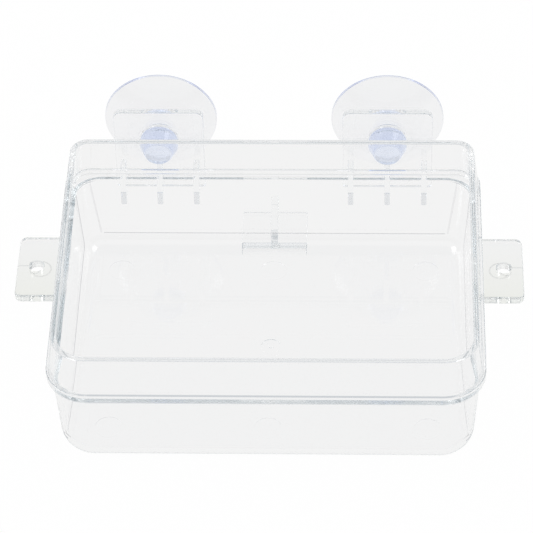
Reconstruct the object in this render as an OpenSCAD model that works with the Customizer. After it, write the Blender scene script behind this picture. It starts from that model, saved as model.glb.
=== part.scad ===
// Clear feeding bowl for a reptile tank: a moulded tray with a loose escape-proof rim frame,
// held on the glass by two suction cups and kept level by a spacer at the foot of its back wall.
// The origin is the middle of the tray's underside. The glass is on the +Y side, +Z is up.

/* [Bowl] */
// Width of the flange, left to right
flange_w = 150; // [120:1:200]
// Depth of the flange, front to back
flange_d = 115.4; // [95:0.2:160]
// Thickness of the flange
flange_t = 2.8; // [2:0.1:4]
// How far the flange stands out past the wall
flange_out = 1.6; // [1:0.1:3]
// Plan radius of the flange's front corners
flange_front_r = 15; // [12:0.5:20]
// Plan radius of the flange's back corners
flange_back_r = 9; // [7:0.5:14]
// Height of the tray, from the table to the top of its flange
bowl_h = 36.4; // [30:0.2:50]
// Thickness of the tray's walls
wall = 2; // [1.5:0.1:3]
// Thickness of the tray's floor
floor_t = 2; // [1.5:0.1:3]
// Draft of the walls, in degrees
draft = 3.5; // [1:0.1:5]
// Radius inside, between walls and floor
floor_r = 6; // [3:0.5:6]
// Plan radius of the mouth's front corners
mouth_front_r = 12; // [10:0.5:18]
// Plan radius of the mouth's back corners
mouth_back_r = 8.5; // [8:0.5:14]
// Depth of the seat that is let into the mouth, below the flange's top
seat_h = 3.2; // [2:0.1:3.6]
// Width of the rim that is left between the seat and the flange's edge
seat_rim = 1.9; // [1.6:0.1:2.4]
// Height of the taper that carries the flange on the wall
root_h = 2.2; // [1.4:0.1:3]
// Rounding of the tabs' edges
soft_r = 0.45; // [0.2:0.05:0.7]
// Rounding of the edges of the fins, ears and spacer, as far as their thickness allows
round_r = 0.9; // [0.3:0.05:1.2]

/* [Rim frame] */
// Height of the frame, from its foot to its top edge
rim_h = 15.3; // [8:0.1:24]
// Thickness of the frame's wall
rim_wall = 2.2; // [1.6:0.1:3]
// How far the frame leans in from its foot to its top edge
rim_in = 1.85; // [0.5:0.05:4]
// Rounding of the frame's and the flange's edges
edge_r = 0.5; // [0.2:0.1:0.7]
// How far the frame's foot stays inside the flange's edge
foot_inset = 0.75; // [0.3:0.05:1.5]
// Depth of the tongue under the foot that drops into the tray's seat
tongue_h = 1.6; // [0.4:0.1:1.9]
// Clearance between the tongue and the rim round the seat
tongue_gap = 0.3; // [0.2:0.05:0.4]
// Film of air between the frame's foot and the flange
seat_gap = 0.1; // [0.05:0.05:0.3]

/* [Suction tabs] */
// Distance between the middles of the two tabs
tab_spacing = 83; // [70:1:110]
// Width of a tab
tab_w = 32.5; // [26:0.5:40]
// Thickness of a tab
tab_t = 2.5; // [2:0.1:4]
// Gap between the flange's back edge and the tab
tab_gap = 6.7; // [6.5:0.1:12]
// Height of a tab above the flange's top
tab_up = 19.6; // [18:0.2:30]
// How far a tab reaches below the flange's top
tab_down = 16.1; // [10:0.1:22]
// Radius of a tab's upper corners
tab_r = 3; // [1:0.5:6]
// Radius of a tab's lower corners, and of the fins', spacer's and rib's corners
foot_r = 1; // [0.8:0.1:1.2]
// Diameter of the hole for the suction cup
hole_d = 13.2; // [10:0.1:15]
// Chamfer of the hole's two edges
hole_edge = 0.4; // [0.1:0.1:0.8]
// Middle of the hole below the tab's top edge
hole_drop = 13.5; // [11:0.1:16]
// Thickness of the fins under a tab
fin_t = 2; // [1.5:0.1:3]
// Distance of the outer fins from the tab's side edges
fin_inset = 1.9; // [0.5:0.1:4]

/* [Suction cups] */
// Diameter of the suction cup's lip
cup_d = 41; // [34:0.5:50]
// Free height of the cup, from the tab to the lip
cup_h = 10.5; // [8:0.1:14]
// Height of the cup when it is pressed flat on the glass
pressed_h = 3.5; // [2.5:0.1:5]
// Thickness of the cup at its middle
cup_mid_t = 2.6; // [2:0.1:4]
// Thickness of the cup at its edge
cup_edge_t = 0.8; // [0.5:0.1:1.5]
// Width of the flat ring that meets the glass
cup_ring_w = 0.9; // [0.6:0.1:2]
// Running clearance of the cup in its hole and along its axis
cup_gap = 0.3; // [0.2:0.05:0.5]
// How far the knob stands out past the edge of its hole
knob_grip = 0.35; // [0.2:0.05:0.8]
// Length of the knob in front of the tab
knob_len = 6.2; // [4:0.1:6.5]
// Diameter of the knob's front face
knob_front_d = 10.5; // [7:0.1:12]
// Rounding of the knob's front edge
knob_r = 1; // [0.4:0.1:1.5]
// Diameter of the dimple in the knob's front face
dimple_d = 5; // [3:0.1:6]
// Depth of the dimple
dimple_h = 0.6; // [0.3:0.1:1.5]

/* [Ears] */
// How far the ears stand out past the flange
ear_out = 14.2; // [10:0.2:20]
// Depth of an ear, front to back
ear_d = 29.8; // [16:0.2:40]
// Middle of the ears behind the middle of the tray
ear_y = 8.5; // [0:0.1:15]
// Thickness of an ear
ear_t = 3.4; // [2:0.1:5]
// Radius of an ear's outer corners
ear_r = 2.5; // [1:0.5:5]
// Middle of the ear's hole past the flange
ear_hole_out = 7.4; // [5:0.1:8]
// Diameter of the ear's hole
ear_hole_d = 5.6; // [3:0.1:6]
// Diameter of the ejector mark under an ear
ear_pin_d = 7.4; // [4:0.1:9]
// Middle of that mark past the flange
ear_pin_out = 6.1; // [5:0.1:8]

/* [Rear spacer] */
// Width of the spacer's plate
spacer_w = 24; // [14:0.5:40]
// Thickness of the spacer's plate
spacer_t = 2.8; // [2:0.1:4]
// Thickness of the rib on the plate
rib_t = 2.6; // [1.6:0.1:4]
// Height of the rib's top edge above the table
rib_h = 11; // [6:0.2:16]

/* [Moulding marks] */
// Diameter of the ejector marks on the floor
pin_d = 9.6; // [4:0.1:12]
// Distance of the ejector marks' middles from the edge of the flat floor
pin_inset = 7.5; // [7:0.1:12]
// Diameter of the round gate mark in the middle of the floor
gate_d = 7; // [4:0.1:10]
// Diameter of the nub in the gate mark
nub_d = 1.6; // [1:0.1:3]
// Depth of the ejector marks
pin_h = 0.1; // [0.05:0.05:0.3]
// Depth of the gate mark
gate_h = 0.3; // [0.1:0.05:0.5]

/* [Hidden] */
$fn = 96;
clear = [0.93, 0.95, 0.97, 0.35];
soft_blue = [0.78, 0.82, 1, 0.5];
far = max(flange_w, flange_d);
over = 1;
// Largest share of a plate's thickness that the rounding of one edge takes
most_round = 0.45;

// Mouth of the tray, and the room that its walls lose to the draft
mouth_w = flange_w - 2 * (flange_out + wall);
mouth_d = flange_d - 2 * (flange_out + wall);
lean = tan(draft);
wall_in = bowl_h * lean;
flange_z = bowl_h - flange_t;
flat_w = mouth_w - 2 * (wall_in + floor_r);
flat_d = mouth_d - 2 * (wall_in + floor_r);

// Frame's foot and the tongue that locates it
foot_w = flange_w - 2 * foot_inset;
foot_d = flange_d - 2 * foot_inset;
foot_front_r = flange_front_r - foot_inset;
foot_back_r = flange_back_r - foot_inset;
rim_a = atan(rim_in / rim_h);
tongue_t = rim_wall - (seat_rim - foot_inset) - tongue_gap;

// Tabs, cups and the glass behind them
tab_front = flange_d / 2 + tab_gap;
tab_back = tab_front + tab_t;
tab_top = bowl_h + tab_up;
tab_foot = bowl_h - tab_down;
hole_z = tab_top - hole_drop;
fin_pitch = (tab_w - fin_t) / 2 - fin_inset;
glass_y = tab_back + pressed_h;

// Suction cup: two spherical caps make its dome and its hollow
cup_r = cup_d / 2;
dome_rise = cup_h - cup_edge_t - cup_gap;
dome_r = (cup_r * cup_r + dome_rise * dome_rise) / (2 * dome_rise);
ring_r = cup_r - cup_ring_w;
hollow_top = cup_gap + cup_mid_t;
hollow_rise = cup_h - hollow_top;
hollow_r = (ring_r * ring_r + hollow_rise * hollow_rise) / (2 * hollow_rise);
neck_d = hole_d - 2 * cup_gap;
knob_d = hole_d + 2 * knob_grip;
knob_back = -tab_t - cup_gap;
knob_front = -tab_t - knob_len;

// Rounded rectangle with its own radius for the front and the back corners
module rounded_plan(w, d, front_r, back_r) {
    translate([-w / 2, front_r - d / 2]) square([w, d - front_r - back_r]);
    translate([front_r - w / 2, -d / 2]) square([w - 2 * front_r, d / 2]);
    translate([back_r - w / 2, 0]) square([w - 2 * back_r, d / 2]);
    for (side = [-1, 1]) {
        translate([side * (w / 2 - front_r), front_r - d / 2]) circle(front_r);
        translate([side * (w / 2 - back_r), d / 2 - back_r]) circle(back_r);
    }
}

// Places a corner's quarter turn at each corner of such a plan, with the corner's radius
module front_corners(w, d, front_r)
    for (side = [0, 1])
        mirror([side, 0, 0]) translate([w / 2 - front_r, front_r - d / 2, 0]) rotate([0, 0, -90]) children();

module back_corners(w, d, back_r)
    for (side = [0, 1])
        mirror([side, 0, 0]) translate([w / 2 - back_r, d / 2 - back_r, 0]) children();

// Runs a section along the four sides and round the four corners of a rounded plan.
// The section's x is measured outwards from the plan's edge, its y is the height.
module sweep(w, d, front_r, back_r) {
    front_corners(w, d, front_r) rotate_extrude(angle = 90) translate([front_r, 0]) children();
    back_corners(w, d, back_r) rotate_extrude(angle = 90) translate([back_r, 0]) children();
    for (side = [0, 1])
        mirror([side, 0, 0]) translate([w / 2, d / 2 - back_r, 0]) rotate([90, 0, 0])
            linear_extrude(d - front_r - back_r) children();
    translate([front_r - w / 2, -d / 2, 0]) mirror([0, 1, 0]) rotate([90, 0, 90])
        linear_extrude(w - 2 * front_r) children();
    translate([back_r - w / 2, d / 2, 0]) rotate([90, 0, 90]) linear_extrude(w - 2 * back_r) children();
}

// Keeps the part of a section that lies between the middle and its outer edge
module from_middle(reach)
    intersection() {
        translate([reach, 0]) children();
        translate([0, -over]) square([far, far]);
    }

// Fills a rounded plan with a section, so that its edge becomes the solid's drafted and filleted wall
module fill_plan(w, d, front_r, back_r) {
    front_corners(w, d, front_r) rotate_extrude(angle = 90) from_middle(front_r) children();
    back_corners(w, d, back_r) rotate_extrude(angle = 90) from_middle(back_r) children();
    for (side = [0, 1])
        mirror([side, 0, 0]) translate([0, d / 2 - back_r, 0]) rotate([90, 0, 0])
            linear_extrude(d - front_r - back_r) from_middle(w / 2) children();
    translate([front_r - w / 2, 0, 0]) mirror([0, 1, 0]) rotate([90, 0, 90])
        linear_extrude(w - 2 * front_r) from_middle(d / 2) children();
    translate([back_r - w / 2, 0, 0]) rotate([90, 0, 90])
        linear_extrude(w - 2 * back_r) from_middle(d / 2) children();
}

// Section of a drafted tub: x is 0 at the height h, the bottom is at y = 0
module tub_section(h, top, fillet) {
    mid_x = -(h - fillet) * lean - fillet / cos(draft);
    polygon([
        [-far, 0], [mid_x, 0], [mid_x, fillet],
        [mid_x + fillet * cos(draft), fillet - fillet * sin(draft)],
        [(top - h) * lean, top], [-far, top]
    ]);
    intersection() {
        translate([mid_x, fillet]) circle(fillet);
        translate([mid_x, 0]) square(fillet);
    }
}

// Outside of the tray up to its flange
module tub_outside()
    fill_plan(mouth_w + 2 * wall, mouth_d + 2 * wall, mouth_front_r + wall, mouth_back_r + wall)
        tub_section(bowl_h, bowl_h - flange_t / 2, floor_r + wall);

// Space inside the tray, open at the top
module tub_inside()
    translate([0, 0, floor_t])
        fill_plan(mouth_w, mouth_d, mouth_front_r, mouth_back_r)
            tub_section(bowl_h - floor_t, bowl_h - floor_t + over, floor_r);

// Section of a rim of thickness t with two rounded edges: x is 0 at the outer edge
module edge_section(t, r, reach) {
    translate([-reach, 0]) square([reach - r, t]);
    translate([-reach, r]) square([reach, t - 2 * r]);
    intersection() {
        for (y = [r, t - r]) translate([-r, y]) circle(r);
        translate([-r, 0]) square([r, t]);
    }
}

// Flat plate with rounded corners and softened edges
module soft_plate(w, d, front_r, back_r, t, r) {
    reach = min(front_r, back_r);
    sweep(w, d, front_r, back_r) edge_section(t, min(r, most_round * t, most_round * reach), reach);
    linear_extrude(t) rounded_plan(w - reach, d - reach, front_r - reach / 2, back_r - reach / 2);
}

// Plate that stands on edge and runs from y0 to y1, with its foot at z0 and its top at z1
module upright_plate(y0, y1, z0, z1, t)
    translate([-t / 2, (y0 + y1) / 2, (z0 + z1) / 2]) rotate([90, 0, 90])
        soft_plate(y1 - y0, z1 - z0, foot_r, foot_r, t, round_r);

// Tab with the suction cup's hole, and the three fins that carry it on the back wall
module suction_tab() {
    fin_start = mouth_d / 2 - wall_in;
    difference() {
        translate([0, tab_back, (tab_top + tab_foot) / 2]) rotate([90, 0, 0])
            soft_plate(tab_w, tab_top - tab_foot, foot_r, tab_r, tab_t, soft_r);
        translate([0, tab_back, hole_z]) rotate([90, 0, 0]) {
            translate([0, 0, -over]) cylinder(d = hole_d, h = tab_t + 2 * over);
            cylinder(d1 = hole_d + 2 * hole_edge, d2 = hole_d, h = hole_edge);
            translate([0, 0, tab_t - hole_edge])
                cylinder(d1 = hole_d, d2 = hole_d + 2 * hole_edge, h = hole_edge);
        }
    }
    for (i = [-1 : 1])
        translate([i * fin_pitch, 0, 0])
            upright_plate(fin_start, tab_back - tab_t / 2, tab_foot, flange_z + round_r, fin_t);
}

// One plate across the tray makes both ears, each with a hole, and an ejector mark below
module ears()
    difference() {
        translate([0, ear_y, flange_z - ear_t])
            soft_plate(flange_w + 2 * ear_out, ear_d, ear_r, ear_r, ear_t, round_r);
        for (side = [-1, 1])
            translate([side * flange_w / 2, ear_y, flange_z - ear_t - over]) {
                translate([side * ear_hole_out, 0, 0]) cylinder(d = ear_hole_d, h = ear_t + 2 * over);
                translate([side * ear_pin_out, 0, 0]) cylinder(d = ear_pin_d, h = pin_h + over);
            }
    }

// Plate and rib at the foot of the back wall that bear on the glass
module rear_spacer() {
    start = flat_d / 2;
    translate([0, (start + glass_y) / 2, 0])
        soft_plate(spacer_w, glass_y - start, foot_r, foot_r, spacer_t, round_r);
    upright_plate(start, glass_y, 0, rib_h, rib_t);
}

// Shallow round marks that the mould leaves on the floor
module floor_marks() {
    pin_x = flat_w / 2 - pin_inset;
    pin_y = flat_d / 2 - pin_inset;
    for (spot = [[-pin_x, pin_y], [0, pin_y], [pin_x, pin_y], [-pin_x, -pin_y], [0, -pin_y], [pin_x, -pin_y]])
        translate([spot[0], spot[1], floor_t - pin_h]) cylinder(d = pin_d, h = pin_h + over);
    translate([0, 0, floor_t - gate_h]) difference() {
        cylinder(d = gate_d, h = gate_h + over);
        cylinder(d = nub_d, h = gate_h);
    }
}

// Flange with rounded edges, and the taper below that carries it: x is 0 at its edge, y at its underside
module flange_section() {
    reach = flange_out + wall;
    edge_section(flange_t, edge_r, reach + edge_r);
    polygon([
        [-reach, edge_r], [-reach, -root_h], [-flange_out - edge_r, -root_h], [-edge_r, 0], [-edge_r, edge_r]
    ]);
}

// Space of the seat round the mouth that takes the frame's tongue
module seat()
    translate([0, 0, bowl_h - seat_h]) linear_extrude(seat_h + over)
        rounded_plan(flange_w - 2 * seat_rim, flange_d - 2 * seat_rim, flange_front_r - seat_rim,
            flange_back_r - seat_rim);

// Tray with flange, tabs, ears and spacer, moulded in one
module bowl()
    color(clear) difference() {
        union() {
            tub_outside();
            translate([0, 0, flange_z])
                sweep(flange_w, flange_d, flange_front_r, flange_back_r) flange_section();
            for (side = [-1, 1]) translate([side * tab_spacing / 2, 0, 0]) suction_tab();
            ears();
            rear_spacer();
        }
        tub_inside();
        seat();
        floor_marks();
    }

// Section of the frame's leaning wall, from the tongue under its foot to its rounded top
module rim_section() {
    slope_x = -(rim_h - edge_r) * tan(rim_a);
    outer_x = slope_x - edge_r / cos(rim_a);
    inner_x = slope_x - rim_wall + edge_r / cos(rim_a);
    polygon([
        [0, 0],
        [outer_x + edge_r * cos(rim_a), rim_h - edge_r + edge_r * sin(rim_a)],
        [outer_x, rim_h], [inner_x, rim_h],
        [inner_x - edge_r * cos(rim_a), rim_h - edge_r - edge_r * sin(rim_a)],
        [-rim_wall, 0]
    ]);
    for (x = [outer_x, inner_x]) translate([x, rim_h - edge_r]) circle(edge_r);
    translate([-rim_wall, -tongue_h]) square([tongue_t, tongue_h + edge_r]);
}

// Loose frame whose wall leans in, so that insects can't climb out
module rim_frame()
    color(clear) translate([0, 0, bowl_h + seat_gap])
        sweep(foot_w, foot_d, foot_front_r, foot_back_r) rim_section();

// Knob and neck, from the front face to the cup's middle: z runs from the tab's back face to the glass
module cup_stem() {
    translate([0, 0, knob_front]) cylinder(d = knob_front_d - 2 * knob_r, h = hollow_top - knob_front);
    translate([0, 0, knob_front + knob_r]) {
        rotate_extrude() translate([knob_front_d / 2 - knob_r, 0]) circle(knob_r);
        cylinder(d1 = knob_front_d, d2 = knob_d, h = knob_back - knob_front - 2 * knob_r);
    }
    translate([0, 0, knob_back - knob_r]) {
        cylinder(d = knob_d, h = knob_r);
        cylinder(d = neck_d, h = hollow_top - knob_back + knob_r);
    }
}

// Soft cup whose dome and hollow are two spherical caps that meet the glass in a flat ring
module suction_cup(x)
    color(soft_blue) translate([x, tab_back, hole_z]) rotate([-90, 0, 0]) difference() {
        union() {
            intersection() {
                translate([0, 0, cup_gap + dome_r]) sphere(dome_r);
                cylinder(d = cup_d, h = cup_h);
            }
            cup_stem();
        }
        translate([0, 0, hollow_top + hollow_r]) sphere(hollow_r);
        translate([0, 0, knob_front - over]) cylinder(d = dimple_d, h = dimple_h + over);
    }

module suction_cup_left() suction_cup(-tab_spacing / 2);
module suction_cup_right() suction_cup(tab_spacing / 2);

bowl();
rim_frame();
suction_cup_left();
suction_cup_right();
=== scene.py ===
# Clear feeding bowl for a reptile tank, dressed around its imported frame.
import math

import bpy
from mathutils import Matrix, Vector


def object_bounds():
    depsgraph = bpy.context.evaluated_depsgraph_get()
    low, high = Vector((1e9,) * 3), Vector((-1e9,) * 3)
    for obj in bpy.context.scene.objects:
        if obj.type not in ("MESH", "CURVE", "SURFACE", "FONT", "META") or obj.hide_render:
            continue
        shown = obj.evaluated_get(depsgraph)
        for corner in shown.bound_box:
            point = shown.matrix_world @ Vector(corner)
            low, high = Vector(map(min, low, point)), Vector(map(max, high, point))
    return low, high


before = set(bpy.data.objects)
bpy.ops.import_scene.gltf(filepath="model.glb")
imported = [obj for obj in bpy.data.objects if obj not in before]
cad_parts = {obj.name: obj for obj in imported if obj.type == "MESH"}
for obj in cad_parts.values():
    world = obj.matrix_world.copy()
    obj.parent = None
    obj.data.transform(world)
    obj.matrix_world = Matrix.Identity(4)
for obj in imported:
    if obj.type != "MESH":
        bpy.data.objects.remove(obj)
cad_low, cad_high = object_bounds()

MM = 0.001
FAR_MM = 200  # past the end of every piece

# Camera: it stands in front, a little to the right, and looks down on the bowl
IMAGE_SIDE_PX = 533
FOCAL_PX = 3044
SENSOR_MM = 36
CAMERA_YAW = 2.76
CAMERA_PITCH = 44.68
CAMERA_ROLL = -1.70
CAMERA_DISTANCE_MM = 1061.2
AIM_MM = (-0.7, 0, 42.1)
SIGHT_M = 20

# Tray: its mouth, its drafted wall, and the tangent edges of its corners and floor fillet
MOUTH_X_MM, MOUTH_Y_MM, MOUTH_Z_MM = 71.4, 54.1, 36.4
WALL_MM = 2
DRAFT = 3.5
CORNER_X_MM, CORNER_Y_MM = 62.9, 45.6
CORNER_SLANT = 0.12
FILLET_TOP_MM = 7.6
LINE_TOP_MM = 33

# Ears: they start past the flange, each with a hole and an ejector's ring beside it
EAR_X_MM = 75.2
EAR_Y_MM = 8.5
EAR_D_MM = 29.8
EAR_MIDDLE_Z_MM = 32
EAR_HOLE_EDGE_MM = 85.2
EJECTOR_X_MM = 81.1
EJECTOR_R_MM = 3.7

# Marks of the mould, drawn as grey painted shade in place of the shade that their small grooves and edges
# show in the clear plastic: drawn wider than the real ones so that they show, and each with its own strength
FINE_LINE_MM, BROAD_LINE_MM = 0.4, 0.7
SIDE_LINE_SHADE, BACK_LINE_SHADE, CORNER_LINE_SHADE = 0.5, 0.3, 0.1
WELD_LINE_SHADE, EJECTOR_EDGE_SHADE = 0.15, 0.12

# Cups: the knob stands in front of the middle of its tab
KNOB_Y_MM = 64.4

# Studio, in metres: a white cove all round, soft boxes, and a room whose tones change with the direction
COVE_FLOOR_R = 1.9
COVE_BEND_R = 0.5
COVE_WALL_TOP = 0.9
FLOOR_GAP_MM = 0.2
FLOOR_GLOW, FRONT_GLOW, BACK_GLOW = 0.9, 0.64, 0.75
GLOW_NEAR, GLOW_FAR = 0.12, 0.6
GLOW_SHARE = 0.985  # of what the camera sees; the rest is paint, which holds the shadow
SOFT_BOX_SIZE = (0.8, 1.0)
FRONT_END, BACK_START = -0.4, 0.5
CEILING_EDGE, CEILING_FULL = 0.72, 0.9
LIGHT_BOUNCES = 160  # light runs far along the clear walls before it leaves them


def linear(code):
    """An sRGB hex colour as linear red, green, blue and alpha."""
    parts = [int(code[i : i + 2], 16) / 255 for i in (1, 3, 5)]
    return [c / 12.92 if c <= 0.04045 else ((c + 0.055) / 1.055) ** 2.4 for c in parts] + [1.0]


def add(tree, kind, settings=None, inputs=None):
    """Adds a node with its own settings, and gives each input its value or the socket that feeds it."""
    made = tree.nodes.new(kind)
    for name, value in (settings or {}).items():
        setattr(made, name, value)
    for name, value in (inputs or {}).items():
        if isinstance(value, bpy.types.NodeSocket):
            tree.links.new(value, made.inputs[name])
        else:
            made.inputs[name].default_value = value
    return made


def new_material(name):
    material = bpy.data.materials.new(name)
    material.use_nodes = True
    material.node_tree.nodes.clear()
    return material, material.node_tree


def per_metre(size_mm):
    """Scale of a pattern whose features are this wide."""
    return 1 / (size_mm * MM)


def mould_lines_painted_shade(tree, x, y, z):
    """How strongly the painted shade of the mould's lines marks the inside of the tray and the ears, from 0
    to 1.
    """
    lean = math.tan(math.radians(DRAFT))
    side, back, slant = (
        add(tree, "ShaderNodeMath", {"operation": "MULTIPLY_ADD"}, {0: z, 1: -slope, 2: value}).outputs[0]
        for value, slope in ((x, lean), (y, lean), (x, CORNER_SLANT))
    )
    plan = add(tree, "ShaderNodeCombineXYZ", inputs={"X": x, "Y": y})
    ejector = add(tree, "ShaderNodeVectorMath", {"operation": "DISTANCE"}, {
        0: plan.outputs["Vector"], 1: (EJECTOR_X_MM * MM, EAR_Y_MM * MM, 0),
    }).outputs["Value"]

    def band(value, middle, width):
        return value, middle - width / 2, middle + width / 2

    # Where the marks run, as the least and greatest millimetres of each value
    inner_side = band(side, MOUTH_X_MM - MOUTH_Z_MM * lean, WALL_MM)
    inner_back = band(back, MOUTH_Y_MM - MOUTH_Z_MM * lean, WALL_MM)
    wall = (z, FILLET_TOP_MM, LINE_TOP_MM)
    up_to_side_corner = (y, -FAR_MM, CORNER_Y_MM)
    up_to_back_corner = (x, -FAR_MM, CORNER_X_MM)
    past_flange = (x, EAR_X_MM, FAR_MM)
    past_hole = (x, EAR_HOLE_EDGE_MM, FAR_MM)
    ear_top = (z, EAR_MIDDLE_Z_MM, FAR_MM)
    ear_underside = (z, -FAR_MM, EAR_MIDDLE_Z_MM)
    marks = (
        (SIDE_LINE_SHADE, band(y, CORNER_Y_MM, BROAD_LINE_MM), inner_side, wall),
        (CORNER_LINE_SHADE, band(slant, CORNER_X_MM, BROAD_LINE_MM), inner_back, wall),
        (SIDE_LINE_SHADE, band(z, FILLET_TOP_MM, BROAD_LINE_MM), inner_side, up_to_side_corner),
        (BACK_LINE_SHADE, band(z, FILLET_TOP_MM, FINE_LINE_MM), inner_back, up_to_back_corner),
        (WELD_LINE_SHADE, band(y, EAR_Y_MM, BROAD_LINE_MM), past_hole, ear_top),
        (EJECTOR_EDGE_SHADE, band(ejector, EJECTOR_R_MM, BROAD_LINE_MM), past_flange, ear_underside),
    )
    shown = 0.0
    for strength, *bounds in marks:
        share = strength
        for value, low, high in bounds:
            within = add(tree, "ShaderNodeMath", {"operation": "COMPARE"}, {
                0: value, 1: (low + high) / 2 * MM, 2: (high - low) / 2 * MM,
            })
            share = add(tree, "ShaderNodeMath", {"operation": "MULTIPLY"}, {
                0: within.outputs[0], 1: share,
            }).outputs[0]
        shown = add(tree, "ShaderNodeMath", {"operation": "MAXIMUM"}, {0: share, 1: shown}).outputs[0]
    return shown


def clear_polystyrene():
    """Crystal polystyrene from a polished mould: glassy, with faint waves and blue-grey edges."""
    material, tree = new_material("clear_polystyrene")
    place = add(tree, "ShaderNodeTexCoord").outputs["Object"]
    # Sink and flow waves, 22 mm long
    waves = add(tree, "ShaderNodeTexNoise", inputs={
        "Vector": place, "Scale": per_metre(22), "Detail": 1.0, "Roughness": 0.4,
    })
    bump = add(tree, "ShaderNodeBump", inputs={
        "Height": waves.outputs["Fac"], "Strength": 1.0, "Distance": 0.008 * MM,
    })
    # Haze of handling, in patches of 6 mm
    handling = add(tree, "ShaderNodeTexNoise", inputs={
        "Vector": place, "Scale": per_metre(6), "Detail": 3.0, "Roughness": 0.6,
    })
    haze = add(tree, "ShaderNodeMapRange", inputs={
        "Value": handling.outputs["Fac"], "From Min": 0.35, "From Max": 0.75, "To Min": 0.0, "To Max": 0.06,
    })
    # A faint green-grey painted shade on the ears, which grows towards the front
    axes = add(tree, "ShaderNodeSeparateXYZ", inputs={0: place}).outputs
    x = add(tree, "ShaderNodeMath", {"operation": "ABSOLUTE"}, {0: axes["X"]}).outputs[0]
    on_ear = add(tree, "ShaderNodeMath", {"operation": "GREATER_THAN"}, {0: x, 1: EAR_X_MM * MM})
    to_front = add(tree, "ShaderNodeMapRange", inputs={
        "Value": axes["Y"],
        "From Min": (EAR_Y_MM + EAR_D_MM / 2) * MM, "From Max": (EAR_Y_MM - EAR_D_MM / 2) * MM,
    })
    ear_painted_shade = add(tree, "ShaderNodeMath", {"operation": "MULTIPLY"}, {
        0: on_ear.outputs[0], 1: to_front.outputs["Result"],
    })
    tint = add(tree, "ShaderNodeMix", {"data_type": "RGBA"}, {
        0: ear_painted_shade.outputs[0], 6: linear("#FFFFFF"), 7: linear("#F9FAF5"),
    })
    skin = add(tree, "ShaderNodeBsdfPrincipled", inputs={
        "Base Color": tint.outputs[2], "IOR": 1.59, "Transmission Weight": 1.0,
        "Roughness": haze.outputs["Result"], "Normal": bump.outputs["Normal"],
    })
    # The mould's lines are real, but their darkness is painted shade: a grey matt surface in place of the
    # shade that their grooves, the inner corners and the ejector ring's edge show in the clear plastic
    painted_line_shade = add(tree, "ShaderNodeBsdfDiffuse", inputs={"Color": linear("#8A90A0")})
    with_painted_line_shade = add(tree, "ShaderNodeMixShader", inputs={
        0: mould_lines_painted_shade(tree, x, axes["Y"], axes["Z"]), 1: skin.outputs["BSDF"], 2: painted_line_shade.outputs["BSDF"],
    })
    inside = add(tree, "ShaderNodeVolumeAbsorption", inputs={"Color": linear("#CFDADF"), "Density": 3.2})
    add(tree, "ShaderNodeOutputMaterial", inputs={
        "Surface": with_painted_line_shade.outputs[0], "Volume": inside.outputs["Volume"],
    })
    return material


def soft_pvc():
    """Soft clear PVC, toned blue at the works: satin skin, a pale thin cup and a blue thick knob."""
    material, tree = new_material("soft_pvc")
    place = add(tree, "ShaderNodeTexCoord").outputs["Object"]
    # Swirls of the soft moulding, 7 mm wide
    swirl = add(tree, "ShaderNodeTexNoise", inputs={
        "Vector": place, "Scale": per_metre(7), "Detail": 2.0, "Roughness": 0.5,
    })
    satin = add(tree, "ShaderNodeMapRange", inputs={
        "Value": swirl.outputs["Fac"], "From Min": 0.3, "From Max": 0.7, "To Min": 0.04, "To Max": 0.14,
    })
    bump = add(tree, "ShaderNodeBump", inputs={
        "Height": swirl.outputs["Fac"], "Strength": 1.0, "Distance": 0.06 * MM,
    })
    # Part of the knob's blue is in its skin: as absorption alone it would edge the thin cup in blue too
    depth = add(tree, "ShaderNodeSeparateXYZ", inputs={0: place}).outputs["Y"]
    on_knob = add(tree, "ShaderNodeMath", {"operation": "LESS_THAN"}, {0: depth, 1: KNOB_Y_MM * MM})
    tint = add(tree, "ShaderNodeMix", {"data_type": "RGBA"}, {
        0: on_knob.outputs[0], 6: linear("#FFFFFF"), 7: linear("#E9F1FF"),
    })
    skin = add(tree, "ShaderNodeBsdfPrincipled", inputs={
        "Base Color": tint.outputs[2], "IOR": 1.53, "Transmission Weight": 1.0,
        "Roughness": satin.outputs["Result"], "Normal": bump.outputs["Normal"],
    })
    inside = add(tree, "ShaderNodeVolumeAbsorption", inputs={"Color": linear("#B4CAFF"), "Density": 11.0})
    add(tree, "ShaderNodeOutputMaterial", inputs={
        "Surface": skin.outputs["BSDF"], "Volume": inside.outputs["Volume"],
    })
    return material


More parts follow.
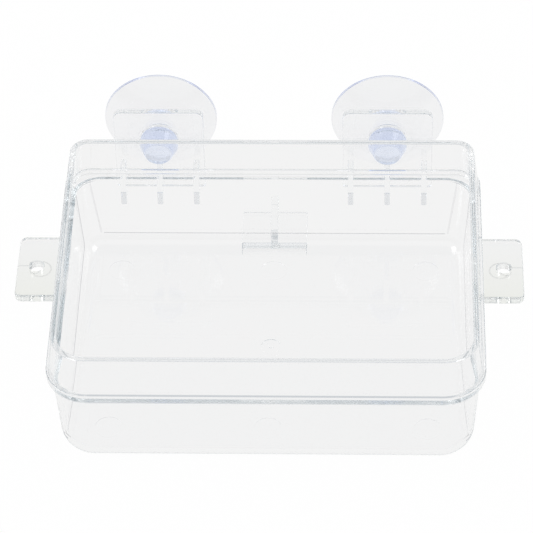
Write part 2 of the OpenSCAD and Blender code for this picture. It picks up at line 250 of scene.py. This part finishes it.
def white_cove_paint_and_glow():
    """Matt white paint of the studio cove under a white glow: paper white to the eye, and a little dimmer in
    the plastic, where the glow is a painted pool of light that is brightest near the bowl.
    """
    material, tree = new_material("white_cove_paint_and_glow")
    paint = add(tree, "ShaderNodeBsdfDiffuse", inputs={"Color": linear("#FAFAFA")})
    path = add(tree, "ShaderNodeLightPath").outputs
    place = add(tree, "ShaderNodeTexCoord").outputs["Object"]
    depth = add(tree, "ShaderNodeSeparateXYZ", inputs={0: place}).outputs["Y"]
    # Painted pool of light: what the plastic sees of the glow falls off to the front and to the back
    to_front = add(tree, "ShaderNodeMapRange", inputs={
        "Value": depth, "From Min": -GLOW_NEAR, "From Max": -GLOW_FAR,
        "To Min": FLOOR_GLOW, "To Max": FRONT_GLOW,
    })
    to_back = add(tree, "ShaderNodeMapRange", inputs={
        "Value": depth, "From Min": GLOW_NEAR, "From Max": GLOW_FAR,
        "To Min": FLOOR_GLOW, "To Max": BACK_GLOW,
    })
    lit = add(tree, "ShaderNodeMath", {"operation": "MINIMUM"}, {
        0: to_front.outputs["Result"], 1: to_back.outputs["Result"],
    })
    level = add(tree, "ShaderNodeMapRange", inputs={
        "Value": path["Is Camera Ray"], "To Min": lit.outputs[0], "To Max": 1.0,
    })
    glow = add(tree, "ShaderNodeEmission", inputs={
        "Color": linear("#FFFFFF"), "Strength": level.outputs["Result"],
    })
    direct = add(tree, "ShaderNodeMath", {"operation": "MULTIPLY"}, {0: path["Is Camera Ray"], 1: GLOW_SHARE})
    mirrored = add(tree, "ShaderNodeMath", {"operation": "MAXIMUM"}, {
        0: path["Is Glossy Ray"], 1: path["Is Transmission Ray"],
    })
    share = add(tree, "ShaderNodeMath", {"operation": "MAXIMUM"}, {
        0: direct.outputs[0], 1: mirrored.outputs[0],
    })
    mix = add(tree, "ShaderNodeMixShader", inputs={
        0: share.outputs[0], 1: paint.outputs[0], 2: glow.outputs[0],
    })
    add(tree, "ShaderNodeOutputMaterial", inputs={"Surface": mix.outputs[0]})
    return material


def white_cove():
    """Floor that bends up into a low wall all round."""
    turns = 96
    bend_steps = 12
    profile = [(COVE_FLOOR_R, 0.0)]
    for step in range(1, bend_steps + 1):
        angle = math.pi / 2 * step / bend_steps
        profile.append((COVE_FLOOR_R + COVE_BEND_R * math.sin(angle), COVE_BEND_R * (1 - math.cos(angle))))
    profile.append((COVE_FLOOR_R + COVE_BEND_R, COVE_WALL_TOP))
    points = [(0.0, 0.0, 0.0)]
    for r, z in profile:
        for turn in range(turns):
            angle = 2 * math.pi * turn / turns
            points.append((r * math.cos(angle), r * math.sin(angle), z))
    faces = []
    for here in range(turns):
        there = (here + 1) % turns
        faces.append((0, 1 + here, 1 + there))
        for ring in range(len(profile) - 1):
            inner = 1 + ring * turns
            outer = inner + turns
            faces.append((inner + here, outer + here, outer + there, inner + there))
    mesh = bpy.data.meshes.new("white_cove")
    mesh.from_pydata(points, [], faces)
    mesh.shade_smooth()
    cove = bpy.data.objects.new("white_cove", mesh)
    cove.location = (0, 0, cad_low[2] - FLOOR_GAP_MM * MM)
    mesh.materials.append(white_cove_paint_and_glow())
    bpy.context.collection.objects.link(cove)


def soft_box(name, place, power):
    """Lamp behind a diffuser, turned to the bowl."""
    lamp = bpy.data.lights.new(name, "AREA")
    lamp.shape = "RECTANGLE"
    lamp.size, lamp.size_y = SOFT_BOX_SIZE
    lamp.energy = power
    box = bpy.data.objects.new(name, lamp)
    box.location = place
    box.rotation_euler = (-Vector(place)).to_track_quat("-Z", "Y").to_euler()
    bpy.context.collection.objects.link(box)


def studio_room(front, back, ceiling):
    """Pale walls, brightest behind the camera, under a dimmer ceiling."""
    world = bpy.data.worlds.new("studio_room")
    world.use_nodes = True
    tree = world.node_tree
    tree.nodes.clear()
    way = add(tree, "ShaderNodeTexCoord").outputs["Generated"]
    axes = add(tree, "ShaderNodeSeparateXYZ", inputs={0: way}).outputs
    to_back = add(tree, "ShaderNodeMapRange", {"interpolation_type": "SMOOTHSTEP"}, {
        "Value": axes["Y"], "From Min": FRONT_END, "From Max": BACK_START,
    })
    to_ceiling = add(tree, "ShaderNodeMapRange", {"interpolation_type": "SMOOTHSTEP"}, {
        "Value": axes["Z"], "From Min": CEILING_EDGE, "From Max": CEILING_FULL,
    })
    walls = add(tree, "ShaderNodeMix", {"data_type": "RGBA"}, {
        0: to_back.outputs["Result"], 6: linear(front), 7: linear(back),
    })
    tone = add(tree, "ShaderNodeMix", {"data_type": "RGBA"}, {
        0: to_ceiling.outputs["Result"], 6: walls.outputs[2], 7: linear(ceiling),
    })
    light = add(tree, "ShaderNodeBackground", inputs={"Color": tone.outputs[2], "Strength": 1.0})
    add(tree, "ShaderNodeOutputWorld", inputs={"Surface": light.outputs[0]})
    bpy.context.scene.world = world


def camera():
    """Camera that looks at the aim point from its distance, rolled about its line of sight."""
    yaw, pitch, roll = (math.radians(a) for a in (CAMERA_YAW, CAMERA_PITCH, CAMERA_ROLL))
    back = Vector((math.sin(yaw) * math.cos(pitch), -math.cos(yaw) * math.cos(pitch), math.sin(pitch)))
    right = Vector((math.cos(yaw), math.sin(yaw), 0))
    up = back.cross(right)
    lens = bpy.data.cameras.new("camera")
    lens.sensor_width = SENSOR_MM
    lens.lens = FOCAL_PX / IMAGE_SIDE_PX * SENSOR_MM
    lens.clip_end = SIGHT_M
    eye = bpy.data.objects.new("camera", lens)
    turn = Matrix((right, up, back)).transposed() @ Matrix.Rotation(roll, 3, "Z")
    place = (Vector(AIM_MM) + back * CAMERA_DISTANCE_MM) * MM
    eye.matrix_world = Matrix.Translation(place) @ turn.to_4x4()
    bpy.context.collection.objects.link(eye)
    bpy.context.scene.camera = eye


camera()
polystyrene = clear_polystyrene()
pvc = soft_pvc()
for name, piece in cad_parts.items():
    finish = pvc if name.startswith("suction_cup") else polystyrene
    piece.data.materials.clear()
    piece.data.materials.append(finish)
white_cove()
studio_room(front="#F1F2F3", back="#E8E9EA", ceiling="#CBCFD3")
soft_box("soft_box_left", (-1.5, -0.3, 1.5), power=5)
soft_box("soft_box_right", (1.5, -0.1, 1.5), power=4)
light_paths = bpy.context.scene.cycles
light_paths.max_bounces = LIGHT_BOUNCES
light_paths.transmission_bounces = LIGHT_BOUNCES
light_paths.glossy_bounces = LIGHT_BOUNCES
bpy.context.scene.view_settings.view_transform = "Standard"
